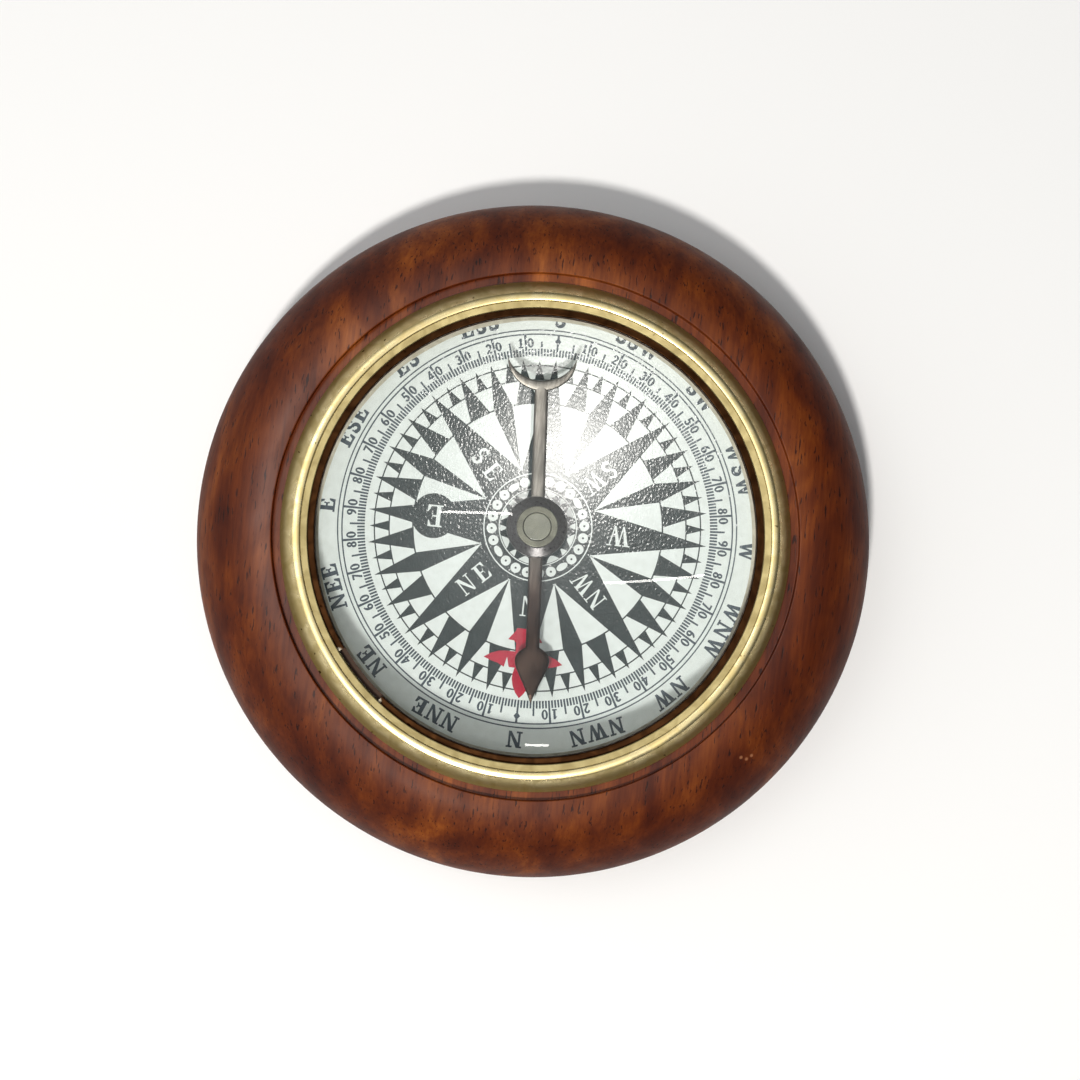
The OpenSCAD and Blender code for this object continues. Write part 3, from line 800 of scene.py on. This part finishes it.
# White paper left bare in the ink: letters in the rays, and the beaded wreath round the hub
white = []
ray_names = (("N", 0, 10.44, 2.64), ("W", 270, 10.63, 2.61), ("S", 180, 10.55, 2.61), ("E", 90, 13.62, 2.86))
for letter, bearing, outwards, height in ray_names:
    width, strokes = capitals[letter]
    white += lettered(strokes, width, height, 0, outwards, bearing, -bearing)
slant_h = 2.36
slant_places = (12.03, 9.38)
for name, bearing in (("NE", 45), ("SE", 135), ("SW", 225), ("NW", 315)):
    for letter, outwards in zip(name, slant_places):
        width, strokes = capitals[letter]
        white += lettered(strokes, width, slant_h, 0, outwards, bearing, 90)
wreath_r = 6.043
wreath = np.arange(24) * 15.0 + 7.5
oval_places = np.arange(4) * 90.0 + 52.5
bead_places = np.setdiff1d(wreath, oval_places)
bead_steps = 24
bead_turn = np.linspace(0, 2 * np.pi, bead_steps, endpoint=False)[:, None]
oval_edge = np.stack([0.79 * np.sin(bead_turn), 0.44 * np.cos(bead_turn) + wreath_r], -1)
oval_heart = np.broadcast_to((0.0, wreath_r), oval_edge.shape)
ovals = on_card(np.concatenate([oval_heart, oval_edge], 1), oval_places)
white_rings = [
    hoop(6.97, 7.12),
    hoop(4.98, 5.12),
    hoop(0, 0.663, bead_places, wreath_r, bead_steps),
    ovals,
]
leaf_r = 4.9
leaf_bow = 0.8
leaf_share = np.linspace(-1, 1, 15)[:, None]


def leaves(half_angle, bearings):
    """Leaves inside the wreath: strips along a circle whose inner edge bows inwards."""
    angle = np.radians(half_angle) * leaf_share
    radius = np.concatenate([leaf_r - leaf_bow * (1 - leaf_share**2), leaf_r + 0 * leaf_share], 1)
    return on_card(np.stack([radius * np.sin(angle), radius * np.cos(angle)], -1), bearings)


white.append(leaves(10.5, eighths + 15))
white.append(leaves(5.0, eighths + 37.5))
white_z = black_z + 2 * ink_step
white_films = [
    film(ribbon, ink_low, white_z + n % ink_levels * ink_level) for n, ribbon in enumerate(white)
]
white_films += [film(ribbon, ink_low, white_z, True) for ribbon in white_rings]
white_print = add_mesh("bare_letters", *white_films)
fit(white_print, "case", "card_paper", paper_finish)
dot_z = white_z + ink_step
bead_dots = add_mesh("bead_dots", film(hoop(0, 0.14, bead_places, wreath_r, 12), ink_low, dot_z, True))
fit(bead_dots, "case", "card_paper", ink_finish)

# The red lily: a middle petal, two pointed arms with a notch beside the petal, and a stem with feet
lily_petal = [(0.94, 18.2), (1.0, 18.7), (1.2, 19.6), (1.22, 20.3), (1.0, 21.2), (0.58, 22.1), (0, 22.82)]
lily_stem = [
    (1.22, 13.42), (1.4, 13.91), (1.85, 14.45), (2.25, 15.02), (1.5, 15.1), (1.12, 15.4), (1.12, 16.6)
]
arm_across = [0, 0.9, 1.8, 2.15, 2.45, 3.3, 4.3, 5.2]
arm_near = [16.55, 16.56, 16.56, 16.56, 16.57, 16.68, 17.08, 17.69]
arm_far = [18.74, 18.74, 18.71, 17.36, 18.76, 18.32, 18.06, 17.71]
arm_edge = np.stack([np.stack([arm_across, arm_near], -1), np.stack([arm_across, arm_far], -1)], 1)
lily = [strip(lily_petal, (0,)), strip(lily_stem, (0,))]
for side in (1, -1):
    lily.append(on_card(arm_edge * (side, 1), 0))
lily_films = [film(ribbon, ink_low, dot_z + number * ink_level) for number, ribbon in enumerate(lily)]
red_lily = add_mesh("red_lily", *lily_films)
fit(red_lily, "case", "card_paper", red_finish)

# Needle: cut from thin steel, with a spade head to the north and a crescent tail, its edges broken
# and its faces brushed lengthways. The north half is browned, and its hub is peened into the eye
blade_z = 18.6
blade_top_z = 19.2
needle_rest = np.radians(4.3)
tip = 24.0
shaft_half = 0.925
eye_r = 3.9
tail_end = 19.4
head_start = 16.0
neck_end = 16.5


def blade(left, right, swell):
    """A flat blade between two edge lines. Each pair of edge points carries a flattened oval
    section, and swell scales its thickness."""
    angle = np.linspace(0, 2 * np.pi, 20, endpoint=False)
    wide = np.sign(np.cos(angle)) * np.abs(np.cos(angle)) ** 0.45
    tall = np.sign(np.sin(angle)) * np.abs(np.sin(angle)) ** 0.6
    middle = (left + right) / 2
    across = (right - left) / 2
    flat = middle[:, None] + across[:, None] * wide[:, None]
    level = (blade_z + blade_top_z) / 2
    height = level + (blade_top_z - blade_z) / 2 * tall * np.asarray(swell)[:, None]
    x = flat[..., 0] * np.cos(needle_rest) - flat[..., 1] * np.sin(needle_rest)
    y = flat[..., 0] * np.sin(needle_rest) + flat[..., 1] * np.cos(needle_rest) + pivot_north
    return np.stack([x, y, height], -1)[None] * mm, False, True


shaft_along = np.linspace(-tail_end, head_start, 140)
along = np.concatenate([[-tail_end], shaft_along, np.linspace(head_start + 0.02, tip, 80)])
eye_half = np.sqrt(np.clip(eye_r**2 - along**2, 0, None))
head_along = [15.9, 16.2, 16.7, 17.1, 17.6, 18.2, 19.0, 20.0, 21.2, 22.4, 23.3, tip]
head_halves = [0, 1.05, 1.75, 2.12, 2.3, 2.32, 2.14, 1.7, 1.13, 0.6, 0.26, 0]
head_half = np.interp(along, head_along, head_halves, 0, 0)
half_width = np.maximum(np.maximum(eye_half, head_half), np.where(along < neck_end, shaft_half, 0))
half_width[0] = 0
blade_edge = np.stack([half_width, along], -1)
blade_swell = np.clip((tip - along) / 1.2, 0.25, 1)
crescent_share = np.linspace(-1, 1, 61)


def crescent_edge(radius, reach, middle):
    """An edge of the crescent: an arc round a middle on the needle's line, which reaches so many
    degrees either way."""
    angle = np.radians(reach) * crescent_share
    return np.stack([radius * np.sin(angle), radius * np.cos(angle) + middle], -1)


crescent_out = crescent_edge(4.75, 91.6, -23.4)
crescent_in = crescent_edge(5.0, 71.7, -25.1)
crescent_swell = np.clip((1 - np.abs(crescent_share)) * 4, 0.3, 1)
needle = add_mesh(
    "browned_needle",
    blade(blade_edge * (-1, 1), blade_edge, blade_swell),
    blade(crescent_out, crescent_in, crescent_swell),
)
needle_finish, needle_tree, needle_shader = finish_of("brushed browned steel", {"Metallic": 1.0})
needle_brush = speckle(needle_tree, 3400, 3, (1, 0.08, 1))
needle_cloud = speckle(needle_tree, 260, 3)
needle_north = spread(needle_tree, own_axis(needle_tree, "Y"), -4 * mm, 8 * mm, 0.0, 1.0)
needle_bare = ramp(needle_tree, needle_cloud, (0.35, tone(110, 107, 101)), (0.65, tone(142, 138, 131)))
needle_brown = ramp(needle_tree, needle_cloud, (0.35, tone(46, 35, 30)), (0.65, tone(70, 56, 49)))
needle_colour = mixed(needle_tree, needle_north, needle_bare, needle_brown)
needle_line = ramp(needle_tree, needle_brush, (0.35, tone(190, 186, 184)), (0.65, clear))
needle_colour = mixed(needle_tree, 0.8, needle_colour, needle_line, "MULTIPLY")
needle_rough = spread(needle_tree, needle_brush, 0.3, 0.7, 0.3, 0.44)
painted(needle_tree, needle_shader, needle_colour, needle_rough)
roughen(needle_tree, needle_shader, needle_brush, 0.012)
fit(needle, "needle", "needle_steel", needle_finish, "needle_blade")

# Hub: a steel boss with a conical skirt, turned and polished. It holds the jewel in a pressed
# metal setting, and a thin washer lies under the needle where its spigot is peened over
bore_r = 1.5
spigot_r = 2.1
hub_z = 18.15
hub_seat_z = 19.3
hub_top_z = 20.6
collar_top_z = 20.9
jewel_r = 1.85
jewel_z = 19.6
jewel_top_z = 20.8
hub_steps = 5
hub_corners = [
    (bore_r, hub_z), (spigot_r, hub_z), (spigot_r, blade_top_z), (4.1, blade_top_z), (4.05, 19.72),
    (2.85, hub_top_z), (2.2, hub_top_z), (2.2, hub_seat_z), (bore_r, hub_seat_z),
]
hub_radii = (0.03, 0.1, 0, 0.06, 0.25, 0.3, 0.03, 0, 0.03)
hub = add_mesh("needle_boss", turned(rounded(hub_corners, hub_radii, hub_steps), 128, pivot_north))
hub_tones = (tone(92, 90, 90), tone(120, 118, 118))
hub_finish = grained("turned steel", {"Metallic": 1.0}, (2600, 4), *hub_tones, (0.26, 0.4), 0.008)
fit(hub, "needle", "hub_steel", hub_finish, "needle_hub")
refinish("hub_washer", hub_finish)
setting_corners = [
    (2.8, hub_top_z), (2.8, collar_top_z), (1.87, collar_top_z), (1.87, jewel_z),
    (bore_r, jewel_z), (bore_r, hub_seat_z), (2.15, hub_seat_z), (2.15, hub_top_z),
]
setting_radii = (0, 0.1, 0.12, 0, 0, 0, 0.05, 0)
setting_outline = rounded(setting_corners, setting_radii, hub_steps)
setting = add_mesh("jewel_collar", turned(setting_outline, 128, pivot_north))
setting_finish = brass_of("olive setting metal", tone(102, 102, 90), tone(82, 82, 72), 0.35, 0.5, 0.006)
fit(setting, "needle", "setting_metal", setting_finish, "jewel_setting")
jewel_corners = [(0, 20.3), (0.9, jewel_z), (jewel_r, jewel_z), (jewel_r, jewel_top_z), (0, jewel_top_z)]
jewel = add_mesh("cup_jewel", turned(rounded(jewel_corners, (0, 0.05, 0.08, 0.08, 0), 6), 128, pivot_north))
jewel_shine = {"Roughness": 0.18, "IOR": 1.7, "Coat Weight": 0.3, "Coat Roughness": 0.1}
jewel_tones = (tone(100, 101, 82), tone(122, 123, 102))
jewel_finish = grained("grey olive jewel", jewel_shine, (700, 4), *jewel_tones, depth=0.01)
fit(jewel, "needle", "jewel_stone", jewel_finish, "bearing_jewel")

# Spacer and gasket: a strip of cream card, rolled into a ring that holds the printed card down and
# the glass up, and a thin rubber ring between it and the glass. The strip bulges a little inwards
spacer_in_r = 30.85
spacer_top_z = 21.4
spacer_t = 1.85
spacer_corners = oblong(spacer_in_r, card_r, card_top_z, spacer_top_z)
spacer_grid = turned(rounded(spacer_corners, (0.03, 0.1, 0.12, 0.12), 4), 360)
spacer_way = np.arctan2(spacer_grid[0][..., 1], spacer_grid[0][..., 0])
spacer_depth = card_r * mm - np.hypot(spacer_grid[0][..., 0], spacer_grid[0][..., 1])
spacer_bulge = 0.22 * np.exp(-((spacer_way + 1.0) / 0.4) ** 2)
spacer_bulge += 0.05 * np.sin(13 * spacer_way) * np.sin(5 * spacer_way + 1)
spacer_grid[0][..., :2] *= (1 - spacer_bulge / card_r * spacer_depth / (spacer_t * mm))[..., None]
spacer = add_mesh("spacer_wall", spacer_grid)
spacer_finish = printed_finish("cream card", tone(214, 210, 192), tone(186, 180, 158), 0.7, 0.02)
fit(spacer, "case", "spacer_card", spacer_finish, "spacer_ring")
gasket_tones = (tone(52, 32, 18), tone(70, 46, 28))
gasket_finish = grained("brown rubber", {"Roughness": 0.8}, (2000, 4), *gasket_tones)
refinish("glass_gasket", gasket_finish)

# Glass: a thick plano-convex lens with a flat rim, polished clear. It lies on its gasket, whose
# lip folds over the rim, and it magnifies the card
dome_r = 31.7
dome_h = 8.8
dome_sphere_r = 61.496
glass_z = 22.0
dome_reach = np.arcsin(dome_r / dome_sphere_r)
dome_angle = np.linspace(dome_reach, 0, 72)
dome_line = np.stack(
    [dome_sphere_r * np.sin(dome_angle), land_z + dome_h - dome_sphere_r * (1 - np.cos(dome_angle))], -1
)
glass_rim = rounded(
    [(0, glass_z), (card_r, glass_z), (card_r, land_z), (dome_r, land_z)], (0, 0.15, 0.15, 0), 4
)
glass_flat = np.stack([np.linspace(0, card_r - 0.4, 12), np.full(12, glass_z)], -1)
glass_edge = glass_rim.reshape(4, -1, 2)[1:3].reshape(-1, 2)
glass = add_mesh("domed_lens", turned(np.concatenate([glass_flat, glass_edge, dome_line]), 256))
glass_finish, glass_tree, glass_shader = finish_of(
    "clear glass",
    {"Base Color": (0.985, 0.995, 0.99, 1), "Roughness": 0.02, "IOR": 1.5, "Transmission Weight": 1.0},
)
glass_light = put(glass_tree, "ShaderNodeLightPath", {})
glass_far = spread(glass_tree, axis_distance(glass_tree, -0.2, -3.0), 31.2 * mm, 32.0 * mm, 0.0, 1.0)
glass_high = spread(glass_tree, own_axis(glass_tree, "Z"), 22.2 * mm, 23.0 * mm, 0.0, 1.0)
glass_shade = reckon(glass_tree, "MULTIPLY", glass_far, glass_high)
glass_pass = spread(glass_tree, glass_shade, 0.0, 1.0, 0.96, 0.06)
glass_clear = put(glass_tree, "ShaderNodeBsdfTransparent", {"Color": glass_pass})
blended(glass_tree, glass_light.outputs["Is Shadow Ray"], glass_shader, glass_clear)
fit(glass, "case", "dome_glass", glass_finish, "domed_glass")
lip_corners = oblong(dome_r + 0.03, card_r - 0.02, land_z - 0.005, land_z + 0.015)
gasket_lip = add_mesh("gasket_lip", turned(rounded(lip_corners, 0.003, 2)))
fit(gasket_lip, "case", "gasket_rubber", gasket_finish)


def link_lamp(lamp, state, *pieces):
    """Makes a lamp light only these pieces, or with EXCLUDE all but these."""
    chosen = bpy.data.collections.new(lamp.name + "_pieces")
    for piece in pieces:
        chosen.objects.link(piece)
    for member in chosen.collection_objects:
        member.light_linking.link_state = state
    lamp.light_linking.receiver_collection = chosen


prints = (card, black_print, white_print, bead_dots, red_lily)
link_lamp(key_lamp, "EXCLUDE", glass, hub)
link_lamp(side_lamp, "EXCLUDE", glass)
link_lamp(camera_lamp, "INCLUDE", needle, setting, jewel)
link_lamp(hub_lamp, "INCLUDE", hub)
link_lamp(sheen_lamp, "INCLUDE", case)
link_lamp(glare_lamp, "INCLUDE", *prints)
link_lamp(east_tube, "EXCLUDE", *prints, spacer)
link_lamp(north_tube, "EXCLUDE", *prints, spacer)

# Spring ring: a split ring of dark bronze, sprung into the bowl's groove over the glass's rim,
# with its gap to the card's north-east
ring_in_r = 31.8
ring_out_r = 33.15
ring_top_z = 24.7
split_middle = 44.7
split_half = 7.9
ring_steps = 240
ring_section = rounded(oblong(ring_in_r, ring_out_r, land_z, ring_top_z), 0.18, 4)
ring_turn = np.linspace(split_middle + split_half, split_middle + 360 - split_half, ring_steps)
ring_angle = np.radians(ring_turn)[:, None]
ring_x = ring_section[:, 0] * np.cos(ring_angle)
ring_y = ring_section[:, 0] * np.sin(ring_angle)
ring_grid = np.stack([ring_x, ring_y, np.broadcast_to(ring_section[:, 1], ring_x.shape)], -1) * mm
ring_ends = np.broadcast_to(ring_grid.mean(1, keepdims=True), ring_grid.shape)
ring_grid = np.concatenate([ring_ends[:1], ring_grid, ring_ends[-1:]])
spring_ring = add_mesh("spring_ring", (ring_grid[None], False, True))
# Pale spots on the ring's cut ends are painted highlights of their bright edges
ring_cuts = ring_grid[[1, -2]].reshape(2, -1, 3)
ring_low = ring_cuts.min(1)
ring_high = ring_cuts.max(1)
ring_end_glints = [*(ring_low * 0.3 + ring_high * 0.7).tolist(), *(ring_low * 0.7 + ring_high * 0.3).tolist()]
spring_tones = (tone(56, 34, 17), tone(38, 21, 9))
spring_finish = brass_of("dark bronze", *spring_tones, 0.4, 0.55, 0.01, glint_places=ring_end_glints)
fit(spring_ring, "case", "dark_bronze", spring_finish, "retaining_ring")

# Bezel: a turned brass ring, screwed over the bowl by its sleeve. It has a rounded crest that
# is rubbed bright, and a slope down to a foot on the ledge, where the brass has dulled
sleeve_in_r = 33.8
sleeve_out_r = 35.0
sleeve_z = 18.5
sleeve_top_z = 25.4
bezel_r = 36.8
foot_z = 23.8
crest_middle = np.array([34.35, 23.9])
crest_r = 1.9
shoulder_r = 0.3
crest_tilt = np.radians(np.linspace(-14.0, 17.0, 16))[:, None]
shoulder_tilt = np.radians(np.linspace(20.0, 46.5, 8))[:, None]
crest_line = crest_middle + crest_r * np.hstack([np.sin(crest_tilt), np.cos(crest_tilt)])
shoulder_middle = crest_line[-1] - shoulder_r * np.hstack([np.sin(crest_tilt[-1]), np.cos(crest_tilt[-1])])
shoulder_line = shoulder_middle + shoulder_r * np.hstack([np.sin(shoulder_tilt), np.cos(shoulder_tilt)])
crest_foot = [(33.74, 25.5), (33.75, 25.62), (33.82, 25.71)]
crest_line = np.concatenate([crest_foot, crest_line, shoulder_line])
bezel_corners = [
    (sleeve_in_r, sleeve_z), (sleeve_in_r, sleeve_top_z), (bezel_r, foot_z), (bezel_r, ledge_z),
    (sleeve_out_r, ledge_z), (sleeve_out_r, sleeve_z),
]
bezel_rounds = rounded(bezel_corners, (0.1, 0, 0.1, 0.08, 0.05, 0.1), 4).reshape(6, -1, 2)
bezel_outline = np.concatenate(
    [bezel_rounds[0], [bezel_corners[1]], crest_line, bezel_rounds[2:].reshape(-1, 2)]
)
bezel = add_mesh("polished_bezel", turned(bezel_outline, 384))
bezel_finish = brass_of("polished brass", tone(234, 216, 164), tone(206, 186, 130), 0.22, 0.34, 0.006, 35.3)
fit(bezel, "case", "bezel_brass", bezel_finish, "brass_bezel")
link_lamp(west_tube, "EXCLUDE", *prints, spacer, bezel)
